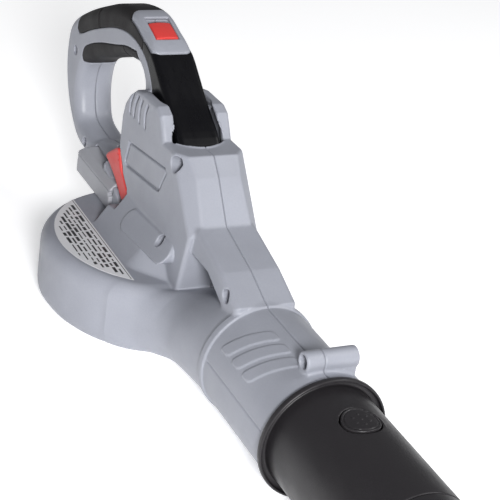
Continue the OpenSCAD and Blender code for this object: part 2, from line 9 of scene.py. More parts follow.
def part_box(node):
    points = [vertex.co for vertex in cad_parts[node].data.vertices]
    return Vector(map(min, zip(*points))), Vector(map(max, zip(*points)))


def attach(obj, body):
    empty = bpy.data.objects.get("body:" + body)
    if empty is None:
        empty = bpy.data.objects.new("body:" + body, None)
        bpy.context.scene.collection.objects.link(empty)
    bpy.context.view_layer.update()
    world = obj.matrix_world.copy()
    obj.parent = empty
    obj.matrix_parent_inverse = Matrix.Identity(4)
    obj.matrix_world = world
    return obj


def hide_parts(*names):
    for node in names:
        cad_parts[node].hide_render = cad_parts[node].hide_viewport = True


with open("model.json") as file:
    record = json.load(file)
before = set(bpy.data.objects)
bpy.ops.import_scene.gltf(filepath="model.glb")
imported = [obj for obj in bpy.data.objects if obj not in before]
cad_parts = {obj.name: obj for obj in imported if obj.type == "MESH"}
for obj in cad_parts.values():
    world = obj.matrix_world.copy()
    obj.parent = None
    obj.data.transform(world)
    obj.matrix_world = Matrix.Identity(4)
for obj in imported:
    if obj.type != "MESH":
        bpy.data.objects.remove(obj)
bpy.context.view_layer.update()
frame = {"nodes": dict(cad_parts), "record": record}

# ---------- sizes, in millimetres in the model's own frame ----------
MM = 0.001
VOXEL = 0.75      # cell of the housing's field
FINE = 0.6        # cell of the small pieces' fields
AXIS_Z = 43.0                            # height of the blower tube's axis
FAN_H = 52.0                             # top of the fan scroll
WALL = 2.5
SKIN = 2.4                               # thickness of the inlaid pads
COLLAR_R = 40.25
COLLAR_IN_R = 37.58
COLLAR_X = (161.0, 254.0)
TUBE_R = 37.5
LOOP_HALF = 16.0                         # half width of the loop handle
BLOCK_HALF = 26.0                        # half width of the motor block
PACK_X = (-112.5, -41.5)
PACK_Z = (52.6, 73.8)
SWITCH_MID = (-44.0, 189.0)
SWITCH_TILT = math.radians(15)
LATCH_PIN = (-22.0, 73.0)
BOSS_AT = (239, 88)                      # x and z of the screw boss across the collar
RAMP_FOOT = 46                           # half width of the shoulders where they meet the scroll
RAMP_RISE, RAMP_RUN = 28, 20
REAR_TUBE_X = (172, 365)
FRONT_TUBE_X = (365.3, 699)
TUBE_IN_R = 35.0
SPIGOT_X = (360, 405)                    # the rear tube's end that goes into the front tube
SPIGOT_R = 34.92
SPIGOT_IN_R = 32.92
FLANGE_X = (254.3, 259)
FLANGE_R = 43
END_RING_X = 690
END_RING_R = 39
SEAL_GROOVE_X = (178, 181)
SEAL_GROOVE_DEPTH = 1.2
BUTTON_X = 293
BUTTON_R = 12
RECESS_R = 12.75                         # the round recess that the button sits in
RECESS_FLOOR = 72.3
PIN_HOLE_R = 4.0
# Each housing screw: x, z, half the length of its boss, radius of the recess round its head.
SCREWS = [(57, 135, 26, 5.6), (56, 77, 26, 3.7), (149, 84, 20, 4.6), (-172, 130, 16, 3.9),
          (-135, 66, 16, 3.8)]
# Each slit in the motor block: lower end, upper end, bend.
VENT_SLITS = (((-28.3, 137.8), (-24.4, 154.0), 1.6), ((-21.1, 138.1), (-16.2, 155.0), 1.8),
              ((-10.8, 138), (-9, 154.3), 2.0), ((-0.2, 138.3), (1.3, 155.0), 2.2))

# ---------- camera, lights and floor ----------
def add_camera():
    """The camera at the photograph's viewing angle, found from the round tube and collar."""
    data = bpy.data.cameras.new("camera")
    data.lens = 108
    data.sensor_width = 36
    camera = bpy.data.objects.new("camera", data)
    bpy.context.scene.collection.objects.link(camera)
    right = Vector((0.420189, 0.897431, 0.134381))
    up = Vector((-0.462078, 0.084156, 0.882837))
    back = Vector((0.780977, -0.433053, 0.450045))
    turn = Matrix((right, up, back)).transposed().to_4x4()
    place_in_metres = (0.89366, -0.42216, 0.54570)
    camera.matrix_world = Matrix.Translation(place_in_metres) @ turn
    bpy.context.scene.camera = camera


def add_light(name, place, target, size, power):
    """A round lamp at a place, aimed at a target: metres and watts."""
    data = bpy.data.lights.new(name, "AREA")
    data.shape = "DISK"
    data.size = size
    data.energy = power
    light = bpy.data.objects.new(name, data)
    bpy.context.scene.collection.objects.link(light)
    light.location = place
    light.rotation_euler = (Vector(place) - Vector(target)).to_track_quat("Z", "Y").to_euler()


def add_world():
    world = bpy.data.worlds.new("studio")
    bpy.context.scene.world = world
    world.use_nodes = True
    background = world.node_tree.nodes["Background"]
    background.inputs["Color"].default_value = (0.97, 0.98, 1.0, 1)
    background.inputs["Strength"].default_value = 0.22
    bpy.context.scene.view_settings.view_transform = "Standard"


def add_floor():
    half, drop = 6.0, 0.0006             # metres: the floor lies just under the object
    corners = [(-half, -half, 0), (half, -half, 0), (half, half, 0), (-half, half, 0)]
    mesh = bpy.data.meshes.new("floor")
    mesh.from_pydata(corners, [], [(0, 1, 2, 3)])
    floor = bpy.data.objects.new("floor", mesh)
    floor.location.z = -drop
    bpy.context.scene.collection.objects.link(floor)
    material = plain_material("floor_white", (0.93, 0.93, 0.94), 0.8)
    shader = material.node_tree.nodes["Principled BSDF"]
    shader.inputs["Emission Color"].default_value = (1, 1, 1, 1)
    shader.inputs["Emission Strength"].default_value = 0.42
    mesh.materials.append(material)


# ---------- materials ----------
class Nodes:
    """Short names for making and joining shader nodes."""

    def __init__(self, name):
        self.material = bpy.data.materials.new(name)
        self.material.use_nodes = True
        self.tree = self.material.node_tree
        self.shader = self.tree.nodes["Principled BSDF"]
        self.place = self.add("ShaderNodeTexCoord").outputs["Object"]

    def add(self, kind, **values):
        node = self.tree.nodes.new(kind)
        for key, value in values.items():
            setattr(node, key, value)
        return node

    def join(self, start, end):
        self.tree.links.new(start, end)

    def noise(self, scale, detail=4.0, rough=0.55, stretch=None):
        node = self.add("ShaderNodeTexNoise")
        node.inputs["Scale"].default_value = scale
        node.inputs["Detail"].default_value = detail
        node.inputs["Roughness"].default_value = rough
        source = self.place
        if stretch:
            mapping = self.add("ShaderNodeMapping")
            mapping.inputs["Scale"].default_value = stretch
            self.join(self.place, mapping.inputs["Vector"])
            source = mapping.outputs["Vector"]
        self.join(source, node.inputs["Vector"])
        return node.outputs["Fac"]

    def span(self, source, low, high, out_low, out_high):
        node = self.add("ShaderNodeMapRange")
        for key, value in zip(("From Min", "From Max", "To Min", "To Max"), (low, high, out_low, out_high)):
            node.inputs[key].default_value = value
        self.join(source, node.inputs["Value"])
        return node.outputs["Result"]

    def mix(self, factor, first, second):
        node = self.add("ShaderNodeMix", data_type="RGBA")
        self.join(factor, node.inputs["Factor"])
        for value, socket in ((first, node.inputs["A"]), (second, node.inputs["B"])):
            if isinstance(value, bpy.types.NodeSocket):
                self.join(value, socket)
            else:
                socket.default_value = (*value, 1)
        return node.outputs["Result"]

    def bump(self, height, strength, distance, below=None):
        node = self.add("ShaderNodeBump")
        node.inputs["Strength"].default_value = strength
        node.inputs["Distance"].default_value = distance
        self.join(height, node.inputs["Height"])
        if below:
            self.join(below, node.inputs["Normal"])
        return node.outputs["Normal"]


def shade(colour, factor):
    """The colour made lighter or darker."""
    return tuple(min(1.0, c * factor) for c in colour)


def plain_material(name, colour, rough):
    """A matt surface with a faint variation, for the floor."""
    n = Nodes(name)
    tone = n.span(n.noise(3.0), 0.3, 0.7, 0.0, 1.0)
    n.join(n.mix(tone, shade(colour, 0.985), shade(colour, 1.01)), n.shader.inputs["Base Color"])
    n.shader.inputs["Roughness"].default_value = rough
    return n.material


def moulded(name, colour, rough, grain=0.35, grain_size=1500, blotch=0.06, edge_highlight=0.25, coat=0.0,
            specular=0.5):
    """Injection-moulded plastic: fine spark-eroded grain, faint flow tone, soft handling marks and
    painted highlights, with the convex edges painted paler."""
    n = Nodes(name)
    tone = n.span(n.noise(22, 5), 0.3, 0.7, 0.0, 1.0)
    base = n.mix(tone, shade(colour, 1 - blotch), shade(colour, 1 + blotch))
    speck = n.span(n.noise(grain_size * 0.55, 2), 0.35, 0.65, 0.0, 1.0)
    base = n.mix(n.span(speck, 0, 1, 0.0, 0.22), base, shade(colour, 0.86))
    geometry = n.add("ShaderNodeNewGeometry")
    # painted highlight: convex edges (pointiness) lightened in the base colour
    lit_edge = n.span(geometry.outputs["Pointiness"], 0.53, 0.62, 0.0, edge_highlight)
    base = n.mix(lit_edge, base, shade(colour, 1.45))
    n.join(base, n.shader.inputs["Base Color"])
    marks = n.noise(60, 6, 0.6, stretch=(1.0, 3.0, 1.0))
    n.join(n.span(marks, 0.3, 0.7, max(rough - 0.07, 0.02), rough + 0.08), n.shader.inputs["Roughness"])
    n.shader.inputs["Specular IOR Level"].default_value = specular
    n.shader.inputs["Coat Weight"].default_value = coat
    n.shader.inputs["Coat Roughness"].default_value = 0.06
    fine = n.bump(n.noise(grain_size, 2), grain, 0.00012)
    n.join(n.bump(n.noise(40, 3), 0.05, 0.0006, fine), n.shader.inputs["Normal"])
    return n.material


def rubber(name, colour):
    """Soft-touch rubber: pebbled surface, a dusty bloom, and painted shade darkening the hollows between the
    pebbles.
    """
    n = Nodes(name)
    cells = n.add("ShaderNodeTexVoronoi")
    cells.inputs["Scale"].default_value = 900
    n.join(n.place, cells.inputs["Vector"])
    pebble = cells.outputs["Distance"]
    dust = n.span(n.noise(35, 6, 0.65), 0.35, 0.75, 0.0, 0.45)
    base = n.mix(dust, colour, shade(colour, 1.55))
    # painted shade: the colour darkened between the pebbles of the grain
    pebble_shade = n.span(pebble, 0.1, 0.7, 0.0, 0.35)
    n.join(n.mix(pebble_shade, base, shade(colour, 0.7)), n.shader.inputs["Base Color"])
    n.join(n.span(n.noise(50, 4), 0.3, 0.7, 0.55, 0.72), n.shader.inputs["Roughness"])
    n.shader.inputs["Specular IOR Level"].default_value = 0.25
    n.join(n.bump(pebble, 0.35, 0.00025), n.shader.inputs["Normal"])
    return n.material


def metal(name, colour, rough, stretch=(1, 1, 14)):
    """Turned or rolled metal: fine lines across one direction and slight staining."""
    n = Nodes(name)
    lines = n.noise(420, 3, 0.6, stretch=stretch)
    stain = n.span(n.noise(70, 5), 0.4, 0.75, 0.0, 0.5)
    n.join(n.mix(stain, colour, shade(colour, 0.72)), n.shader.inputs["Base Color"])
    n.shader.inputs["Metallic"].default_value = 1.0
    n.join(n.span(lines, 0.3, 0.7, rough - 0.07, rough + 0.12), n.shader.inputs["Roughness"])
    n.join(n.bump(lines, 0.18, 0.00008), n.shader.inputs["Normal"])
    return n.material


def make_materials():
    """One material for each material slot of the CAD model."""
    grey = (0.265, 0.275, 0.315)
    return {
        "housing_grey": moulded("housing_grey", grey, 0.46),
        "pack_grey": moulded("pack_grey", (0.31, 0.315, 0.345), 0.5),
        "cover_black": moulded("cover_black", (0.03, 0.03, 0.032), 0.5),
        "panel_black": moulded("panel_black", (0.004, 0.004, 0.005), 0.3, grain=0.06, grain_size=900,
                               blotch=0.02, edge_highlight=0.05, specular=0.12),
        "rubber_black": rubber("rubber_black", (0.011, 0.010, 0.011)),
        "label_pale": moulded("label_pale", (0.68, 0.68, 0.7), 0.38, grain=0.05, grain_size=700, blotch=0.02,
                              edge_highlight=0.0),
        "label_ink": moulded("label_ink", (0.02, 0.02, 0.022), 0.42, grain=0.05, grain_size=700, blotch=0.02,
                             edge_highlight=0.0),
        "red_plastic": moulded("red_plastic", (0.56, 0.045, 0.04), 0.4, grain=0.2, blotch=0.05, edge_highlight=0.1,
                               specular=0.3),
        "tube_charcoal": moulded("tube_charcoal", (0.017, 0.0155, 0.0175), 0.4, grain=0.5, grain_size=1300,
                                 blotch=0.05, edge_highlight=0.3, specular=0.32),
        "steel": metal("steel", (0.58, 0.58, 0.6), 0.3),
        "motor_steel": metal("motor_steel", (0.5, 0.5, 0.52), 0.36),
        "magnet_dark": moulded("magnet_dark", (0.05, 0.05, 0.055), 0.5),
        "nylon_white": moulded("nylon_white", (0.72, 0.7, 0.62), 0.48),
        "impeller_black": moulded("impeller_black", (0.018, 0.018, 0.02), 0.4),
        "copper": metal("copper", (0.72, 0.3, 0.14), 0.32, (1, 1, 60)),
        "brass_contact": metal("brass_contact", (0.75, 0.56, 0.25), 0.26),
        "board_green": moulded("board_green", (0.015, 0.11, 0.045), 0.34, grain=0.15, grain_size=900,
                               blotch=0.1, edge_highlight=0.0, coat=0.3),
        "cell_wrap": moulded("cell_wrap", (0.03, 0.13, 0.4), 0.24, grain=0.04, grain_size=900, blotch=0.03,
                             edge_highlight=0.0, coat=0.3),
        "wire_red": rubber("wire_red", (0.42, 0.014, 0.014)),
        "wire_black": rubber("wire_black", (0.012, 0.012, 0.012)),
    }


# ---------- outlines ----------
def smooth_line(points, per_side=8):
    """A closed Catmull-Rom curve through the points."""
    p = np.array(points, float)
    t = (np.arange(per_side) / per_side)[:, None]
    sides = []
    for a, b, c, d in zip(np.roll(p, 1, 0), p, np.roll(p, -1, 0), np.roll(p, -2, 0)):
        sides.append(b + 0.5 * t * (c - a + t * (2 * a - 5 * b + 4 * c - d + t * (3 * (b - c) + d - a))))
    return np.vstack(sides)


def outline(line, u, v):
    """Signed distance from each point of a flat grid to a closed outline, negative inside."""
    u, v = np.broadcast_arrays(u, v)
    best = np.full(u.shape, 1e9, np.float32)
    inside = np.zeros(u.shape, bool)
    for (ax, ay), (bx, by) in zip(line, np.roll(line, -1, 0)):
        ex, ey = bx - ax, by - ay
        length = max(ex * ex + ey * ey, 1e-9)
        t = np.clip(((u - ax) * ex + (v - ay) * ey) / length, 0, 1)
        best = np.minimum(best, (u - ax - t * ex) ** 2 + (v - ay - t * ey) ** 2)
        if abs(ey) > 1e-9:
            crosses = ((ay > v) != (by > v)) & (u < ax + ex * (v - ay) / ey)
            inside ^= crosses
    return (np.where(inside, -1, 1) * np.sqrt(best)).astype(np.float32)


# The side views below are lists of (x, z) corners, in millimetres.
LOOP = smooth_line([
    (-20, 73), (30, 88), (44, 112), (44, 138.5), (10, 162), (-24, 186), (-46, 195), (-68, 199), (-98, 194),
    (-127, 182.5), (-160, 167), (-187, 150), (-194.6, 132), (-193.5, 108), (-183, 84), (-166, 66), (-150, 58),
    (-128, 56.3), (-106, 56), (-102, 66)])
HOLE = smooth_line([
    (-150, 78), (-124, 74.6), (-112, 77), (-96, 80.5), (-66, 90), (-46, 104), (-41, 118), (-39, 132),
    (-33, 146), (-31, 158), (-44, 165.5), (-57, 165), (-75, 161), (-107, 148), (-140, 134), (-156, 121),
    (-161, 104), (-158, 88)])
BLOCK = np.array([
    (-22, 50), (84, 50), (96, 105.5), (75, 132), (63, 143), (50, 142.3), (36, 142), (32.5, 148), (26, 157.5),
    (18, 161), (-8, 160.5), (-21, 157.5), (-31, 150), (-38, 141), (-41, 130), (-41, 106), (-21, 77)], float)
NECK = np.array([
    (80, 84), (118, 84), (150, 70), (166, 70), (166, 84), (138, 95), (96, 105.5), (80, 105)], float)
HIP = np.array([(-68, 73), (-66, 90), (-46, 104), (-38, 108), (-18, 90), (-18, 73)], float)
ARCH = smooth_line([
    (-170, 147), (-162, 147.5), (-140, 158.5), (-108, 172), (-87, 178.7), (-70, 181.7), (-56, 181.8),
    (-45, 180), (-35, 176.5), (-28, 172.5), (-21, 166), (-16, 159), (-6, 140), (60, 120), (60, 230),
    (-190, 230), (-182, 160)])
LATCH = smooth_line([
    (-63, 88), (-52, 97), (-40, 104), (-35, 98), (-29, 88), (-21, 81), (-17, 76), (-17, 70), (-26, 68),
    (-44, 78.5), (-54, 83)])
LATCH_ROOM = np.array([
    (-66, 81), (-64.5, 89), (-40, 105.6), (-31.8, 95.8), (-27.8, 88.8), (-15.6, 77.6), (-15.6, 68),
    (-26.4, 66.6), (-45.5, 74.6), (-55, 77)], float)
NAME_PLATE = np.array([
    (-22, 116.3), (43, 125.5), (45.5, 123), (37, 106.5), (33, 104.8), (-24, 97.6), (-26.5, 100)], float)


# ---------- fields: distances in millimetres, negative inside a shape ----------
def cells(low, high, step):
    """Three thin coordinate arrays that span a box."""
    axes = [np.arange(a, b + step, step, dtype=np.float32) for a, b in zip(low, high)]
    return axes[0][:, None, None], axes[1][None, :, None], axes[2][None, None, :]


def side_view(line, X, Z):
    """Signed distance to an outline seen from the side, the same at every y."""
    return outline(line, X[:, 0], Z[0])[:, None, :]


def both(a, b, r=0.0):
    """Where two fields overlap, with the edge rounded to r, which may vary over the grid."""
    if np.isscalar(r) and r == 0:
        return np.maximum(a, b)
    sharp = np.maximum(a, b)
    corner = np.sqrt(np.maximum(a + r, 0) ** 2 + np.maximum(b + r, 0) ** 2) - r
    return np.minimum(sharp, -r) * (sharp < -r) + corner * (sharp >= -r)


def either(a, b, r):
    """Two fields joined, with a fillet of about r."""
    h = np.maximum(r - np.abs(a - b), 0) / r
    return np.minimum(a, b) - h * h * r * 0.25


def cut(a, b, r=0.0):
    """The first field less the second, with the edge rounded to r."""
    return both(a, -b, r)


def slab(flat, y, half, r):
    """A side view made 2 * half wide, with its edges rounded to r."""
    return both(flat, np.abs(y) - half, r)


def off_axis(Y, Z):
    """Distance from the blower tube's axis."""
    return np.sqrt(Y * Y + (Z - AXIS_Z) ** 2)


def rod_x(X, Y, Z, x0, x1, radius, r=0.0):
    """A rod along the blower tube's axis."""
    return both(off_axis(Y, Z) - radius, np.maximum(x0 - X, X - x1), r)


def rod_y(X, Y, Z, x, z, y0, y1, radius, r=0.0):
    """A rod across the tool."""
    return both(np.sqrt((X - x) ** 2 + (Z - z) ** 2) - radius, np.maximum(y0 - Y, Y - y1), r)


def box(X, Y, Z, low, high, r=0.0):
    """A box with its edges rounded to r."""
    d = [np.maximum(a - v, v - b) + r for v, a, b in zip((X, Y, Z), low, high)]
    outside = np.sqrt(sum(np.maximum(v, 0) ** 2 for v in d))
    return outside + np.minimum(np.maximum(np.maximum(d[0], d[1]), d[2]), 0) - r


def ease(x, start, end):
    """A smooth step from 0 at start to 1 at end."""
    t = np.clip((x - start) / (end - start), 0, 1)
    return t * t * (3 - 2 * t)


def capsule(u, v, a, b, r):
    """A flat bar with round ends, from point a to point b."""
    ex, ey = b[0] - a[0], b[1] - a[1]
    t = np.clip(((u - a[0]) * ex + (v - a[1]) * ey) / (ex * ex + ey * ey), 0, 1)
    return np.sqrt((u - a[0] - t * ex) ** 2 + (v - a[1] - t * ey) ** 2) - r


def scroll(X, Y, Z, inset=0.0):
    """The flat snail-shaped fan housing: its radius grows from the left round the back to the right."""
    turn = np.radians(np.arange(0, 177, 11))
    radius = np.minimum(89.8, 73.3 + (90 - 73.3) * turn / math.radians(160))
    curve = np.stack([-radius * np.sin(turn), radius * np.cos(turn)], 1)
    front = [(19, -87.2), (36, -81.8), (51, -74.2), (64, -64), (75, -51), (81, -30), (82, 0), (80, 28),
             (72, 50), (54, 64), (28, 71)]
    rim = smooth_line(np.vstack([curve, front]), 6)
    flat = outline(rim, X[:, :, 0], Y[:, :, 0])[:, :, None] + inset
    wide, tall = 8.5, 12.5
    rise = np.maximum(inset - Z, Z - FAN_H + inset)
    u = np.maximum(flat + wide, 0) / wide
    v = np.maximum(rise + tall, 0) / tall
    return (np.sqrt(u * u + v * v) - 1) * wide


def duct(X, Y, Z, inset=0.0):
    """The neck of the scroll: a rounded box that turns into the round collar."""
    inset = inset + 3.2 * (1 - ease(X, 58, 96))
    right = COLLAR_R + np.minimum(0.0115 * np.maximum(112 - X, 0) ** 2, 28) - inset
    left = COLLAR_R + 33.0 * (1 - ease(X, 15, 125)) - inset
    low = 2.75 * ease(X, 60, 125) + inset
    high = FAN_H + (AXIS_Z + COLLAR_R - FAN_H) * ease(X, 70, 168) - inset
    corner = np.minimum(13 + 27.25 * ease(X, 55, 130) - inset, (high - low) / 2 - 0.3)
    across = np.abs(Y - (left - right) / 2) - ((left + right) / 2 - corner)
    upward = np.abs(Z - (low + high) / 2) - ((high - low) / 2 - corner)
    outside = np.sqrt(np.maximum(across, 0) ** 2 + np.maximum(upward, 0) ** 2)
    d = outside + np.minimum(np.maximum(across, upward), 0) - corner
    return np.maximum(d, np.maximum(30 - X, X - (163 - inset)))


def block(X, Y, Z):
    """The motor block with its chamfered front corners and the channel that the gloss panel lies in."""
    flat = side_view(BLOCK, X, Z)
    d = slab(flat + 0.5, Y, BLOCK_HALF - 0.5, 2.4) - 0.5
    lean = math.atan2(96 - 63, 143 - 105.5)      # the slope of the block's front edge
    facet = (X - 96) * math.cos(lean) + (Z - 105.5) * math.sin(lean)
    d = both(d, (facet + np.abs(Y) - 18) / math.sqrt(2), 1.2)
    loop = side_view(LOOP, X, Z)
    mouth = np.maximum(np.abs(Y) - 16.4, X - 48 + 0.03 * Y * Y)
    channel = np.maximum(np.maximum(mouth, -loop), 128 - Z)
    d = cut(d, channel, 1.0)
    lip = np.maximum(np.abs(mouth - 0.4) - 1.3, np.maximum(d - 0.9, 30 - X))
    return either(d, lip, 0.8)


def ramp_slope(Y, Z, foot):
    """Distance from the sloping faces that meet the scroll at y = foot."""
    return ((np.abs(Y) - foot) * RAMP_RISE + (Z - FAN_H) * RAMP_RUN) / math.hypot(RAMP_RISE, RAMP_RUN)


def ramps(X, Y, Z):
    """Steep shoulders between the block and the scroll, which draw in towards the front."""
    foot = RAMP_FOOT - 21 * ease(X, 40, 78)
    slope = ramp_slope(Y, Z, foot)
    d = both(slope, np.maximum(-26 - X, X - 77), 1.5)
    return both(d, np.maximum(40 - Z, Z - 82), 1.2)


def collar(X, Y, Z):
    """The round collar with its rear bead, three slanted ridges, fine line and screw boss."""
    d = rod_x(X, Y, Z, COLLAR_X[0] - 2, COLLAR_X[1], COLLAR_R, 0.8)
    d = either(d, rod_x(X, Y, Z, COLLAR_X[0], COLLAR_X[0] + 6.5, COLLAR_R + 1.25, 1.2), 0.4)
    angle = np.degrees(np.arctan2(Y, Z - AXIS_Z))
    drift = X - (angle + 59.5) * 0.36
    for k in range(3):
        wide = np.abs(drift - (182 + 15.5 * k)) - 5.6
        long = (np.abs(angle + 36) - 24) * 0.7
        band = both(wide, long, 3.5)
        d = np.minimum(d, both(band, rod_x(X, Y, Z, 168, 252, COLLAR_R + 0.75), 0.6))
    line = np.maximum(np.abs(angle + 80) * 0.7 - 0.5, np.maximum(170 - X, X - 250))
    d = cut(d, np.maximum(line, -(d + 0.6)))
    boss = rod_y(X, Y, Z, *BOSS_AT, -12, 24, 6.75, 1.0)
    boss = either(boss, box(X, Y, Z, (233, -11, 76), (245, 23, 88), 1), 0.5)
    return either(d, boss, 2.0)


def loop(X, Y, Z):
    """The loop handle, with sharper edges towards the motor block."""
    ring = both(side_view(LOOP, X, Z), -side_view(HOLE, X, Z), 4)
    return slab(ring, Y, LOOP_HALF, 8.5 - 5 * ease(X, -45, -15))


def shell(X, Y, Z):
    """The outer surface of both housing halves."""
    d = either(scroll(X, Y, Z), duct(X, Y, Z), 5)
    body = block(X, Y, Z)
    body = either(body, ramps(X, Y, Z), 1.2)
    hole = side_view(HOLE, X, Z)
    hip = both(slab(side_view(HIP, X, Z), Y, BLOCK_HALF, 2.5), -hole, 1)
    body = either(body, hip, 1)
    neck = slab(side_view(NECK, X, Z), Y, 22, 4)
    body = either(body, neck, 1.2)
    body = np.minimum(body, loop(X, Y, Z))
    body = np.minimum(body, box(X, Y, Z, (-41.1, -27, 49), (-17, 27, 75), 1))
    d = either(d, body, 1.6)
    return np.maximum(either(d, collar(X, Y, Z), 1.2), 0.05 - Z)


def pack_bay(X, Y, Z):
    """The slot that the battery slides through, from side to side."""
    return box(X, Y, Z, (PACK_X[0] - 0.4, -60, FAN_H + 0.02), (PACK_X[1] + 0.4, 60, PACK_Z[1] + 0.4))


def details(X, Y, Z, d):
    """Recesses, slits, holes and raised areas on the outer surface."""
    side = Y + 20                                # keeps a detail on the right-hand side
    pad = both(capsule(X, Z, (10, 70.5), (68, 74), 7.4), ramp_slope(Y, Z, RAMP_FOOT) - 1.2, 0.8)
    d = either(d, np.maximum(pad, side), 0.5)
    plate = side_view(NAME_PLATE, X, Z)
    d = cut(d, np.maximum(np.maximum(plate, -(d + 0.55)), side), 0.2)
    d = cut(d, np.maximum(np.maximum(np.abs(plate) - 0.75, -(d + 1.5)), side), 0.1)
    for low, high, bend in VENT_SLITS:
        arc = X - bend * ((Z - (low[1] + high[1]) / 2) / 8.5) ** 2
        slit = capsule(arc, Z, low, high, 1.35)
        d = cut(d, np.maximum(slit, 21.5 - np.abs(Y)), 0.3)
    for x, z, half, recess in SCREWS:
        d = cut(d, rod_y(X, Y, Z, x, z, -half - 20, -9, recess), 0.4)
    d = cut(d, rod_y(X, Y, Z, *BOSS_AT, -16, -3.2, 4.3), 0.2)
    return d


def hollow(X, Y, Z, d):
    """The space inside the housing, with the bosses left standing."""
    inner = np.minimum(scroll(X, Y, Z, WALL), duct(X, Y, Z, WALL))
    flat = side_view(BLOCK, X, Z)
    motor = np.maximum(flat + 4.5, np.maximum(np.abs(Y) - 22.5, 52.5 - Z))
    motor = np.maximum(motor, d + 3.2)
    inner = np.minimum(inner, motor)
    grip = np.maximum(loop(X, Y, Z) + 5.5, 76 - Z)
    inner = np.minimum(inner, np.maximum(grip, d + 3.2))
    for x, z, half, recess in SCREWS:
        inner = np.maximum(inner, -rod_y(X, Y, Z, x, z, -half, half, recess + 1.6))
    return inner


def switch_axes(X, Z):
    """Coordinates along and across the tilted seat of the switch."""
    c, s = math.cos(SWITCH_TILT), math.sin(SWITCH_TILT)
    x, z = X - SWITCH_MID[0], Z - SWITCH_MID[1]
    return x * c - z * s, x * s + z * c


def switch_opening(X, Y, Z):
    u, w = switch_axes(X, Z)
    return box(u, Y, w, (-15, -9, -14), (10.5, 9, 24))


def openings(X, Y, Z):
    """Bay, bore, intake and pockets, which go right through the wall."""
    d = pack_bay(X, Y, Z)
    d = np.minimum(d, rod_x(X, Y, Z, 159.5, 256, COLLAR_IN_R))
    from_shaft = np.sqrt(X * X + Y * Y)
    intake, shaft_hole = 60.3, 8
    d = np.minimum(d, np.maximum(from_shaft - intake, Z - 4))
    d = np.minimum(d, np.maximum(from_shaft - shaft_hole, np.abs(Z - 49) - 9))
    d = np.minimum(d, box(X, Y, Z, (240.5, -3, 70), (256, 3, 81.6)))
    d = np.minimum(d, switch_opening(X, Y, Z))
    pocket = side_view(LATCH, X, Z) - 1.1
    room = side_view(LATCH_ROOM, X, Z) - 1.0
    pocket = np.minimum(pocket, room)
    return np.minimum(d, np.maximum(pocket, Y + 22))


# ---------- inlaid pieces: each is a skin cut out of the outer surface ----------
def on_top_of_loop(X, Y, Z):
    return side_view(ARCH, X, Z)


def bezel_region(X, Y, Z):
    ahead = np.maximum(-71 - X, X + 21)
    return np.maximum(both(ahead, np.abs(Y) - 14.9, 5), 165 - Z)


def panel_region(X, Y, Z):
    d = np.maximum(on_top_of_loop(X, Y, Z), -40 - X)
    d = np.maximum(d, X - 48.6 + 0.03 * Y * Y)
    return np.maximum(d, -bezel_region(X, Y, Z))


def top_pad_region(X, Y, Z):
    d = np.maximum(on_top_of_loop(X, Y, Z), X + 40)
    return np.maximum(np.maximum(d, -172 - X), -bezel_region(X, Y, Z))


def under_pad_region(X, Y, Z):
    """Rubber under the grip: a band above the hand hole, up to the inner edge of the grey arch."""
    hole = side_view(HOLE, X, Z)
    rise = 9.0 + 3.0 * ease(-X, 80, 125)
    ends = np.maximum(-157 - X, X + 46)
    return np.maximum(both(hole - rise, ends, 5), 126 - Z)


INLAYS = (bezel_region, panel_region, top_pad_region, under_pad_region)


def inlay(region, low, high, groove=None):
    """The skin of the handle inside a region, a little smaller all round than its seat."""
    X, Y, Z = cells(low, high, FINE)
    handle = loop(X, Y, Z)
    d = both(region(X, Y, Z) + 0.2, handle, 0.9)
    d = np.maximum(d, -(handle + SKIN))
    if groove:
        d = groove(X, Y, Z, d)
    return d


def cut_inlays(X, Y, Z, d):
    """The seats of the inlaid pieces, cut into the housing."""
    handle = loop(X, Y, Z)
    for region in INLAYS:
        d = np.maximum(d, -np.maximum(region(X, Y, Z), np.maximum(-(handle + SKIN + 0.1), handle - 3)))
    return d


# ---------- meshes ----------
def mesh_object(name, points, faces, material):
    """A smooth-shaded mesh in the scene; every face has the same number of corners."""
    mesh = bpy.data.meshes.new(name)
    mesh.vertices.add(len(points))
    mesh.vertices.foreach_set("co", np.asarray(points, np.float32).ravel())
    width = faces.shape[1]
    mesh.loops.add(faces.size)
    mesh.loops.foreach_set("vertex_index", faces.astype(np.int32).ravel())
    mesh.polygons.add(len(faces))
    mesh.polygons.foreach_set("loop_start", np.arange(0, faces.size, width, dtype=np.int32))
    mesh.polygons.foreach_set("use_smooth", np.ones(len(faces), bool))
    mesh.update(calc_edges=True)
    mesh.validate()
    mesh.materials.append(material)
    thing = bpy.data.objects.new(name, mesh)
    bpy.context.scene.collection.objects.link(thing)
    return thing


def flat_sided(thing):
    """The same object, with flat instead of smooth faces."""
    for polygon in thing.data.polygons:
        polygon.use_smooth = False
    return thing


def surface(name, field, low, step, material):
    """The zero surface of a field, as a mesh in metres."""
    band = 3 * step
    grid = vdb.FloatGrid(band)
    padded = np.pad(np.clip(field, -band, band), 1, constant_values=band)
    grid.copyFromArray(np.ascontiguousarray(padded, np.float32))
    points, quads = grid.convertToQuads(0.0)
    points = ((points - 1) * step + np.array(low)) * MM
    return mesh_object(name, points, quads, material)


def place(thing, body, slot, *nodes):
    """Puts a piece on its body, in the place of its CAD nodes."""
    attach(thing, body)
    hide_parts(*nodes)
    return thing


def lathe(name, profile, material, sides=144):
    """A closed profile of (x, radius) points turned round the tube's axis."""
    p = np.array(profile, float)
    turn = np.linspace(0, 2 * math.pi, sides, endpoint=False)
    x = np.repeat(p[:, 0], sides)
    y = np.outer(p[:, 1], np.sin(turn)).ravel()
    z = np.outer(p[:, 1], np.cos(turn)).ravel() + AXIS_Z
    count = len(p)
    i, k = np.meshgrid(np.arange(count), np.arange(sides), indexing="ij")
    j, m = (i + 1) % count, (k + 1) % sides
    faces = np.stack([i * sides + k, j * sides + k, j * sides + m, i * sides + m], -1).reshape(-1, 4)
    return mesh_object(name, np.stack([x, y, z], 1) * MM, faces, material)


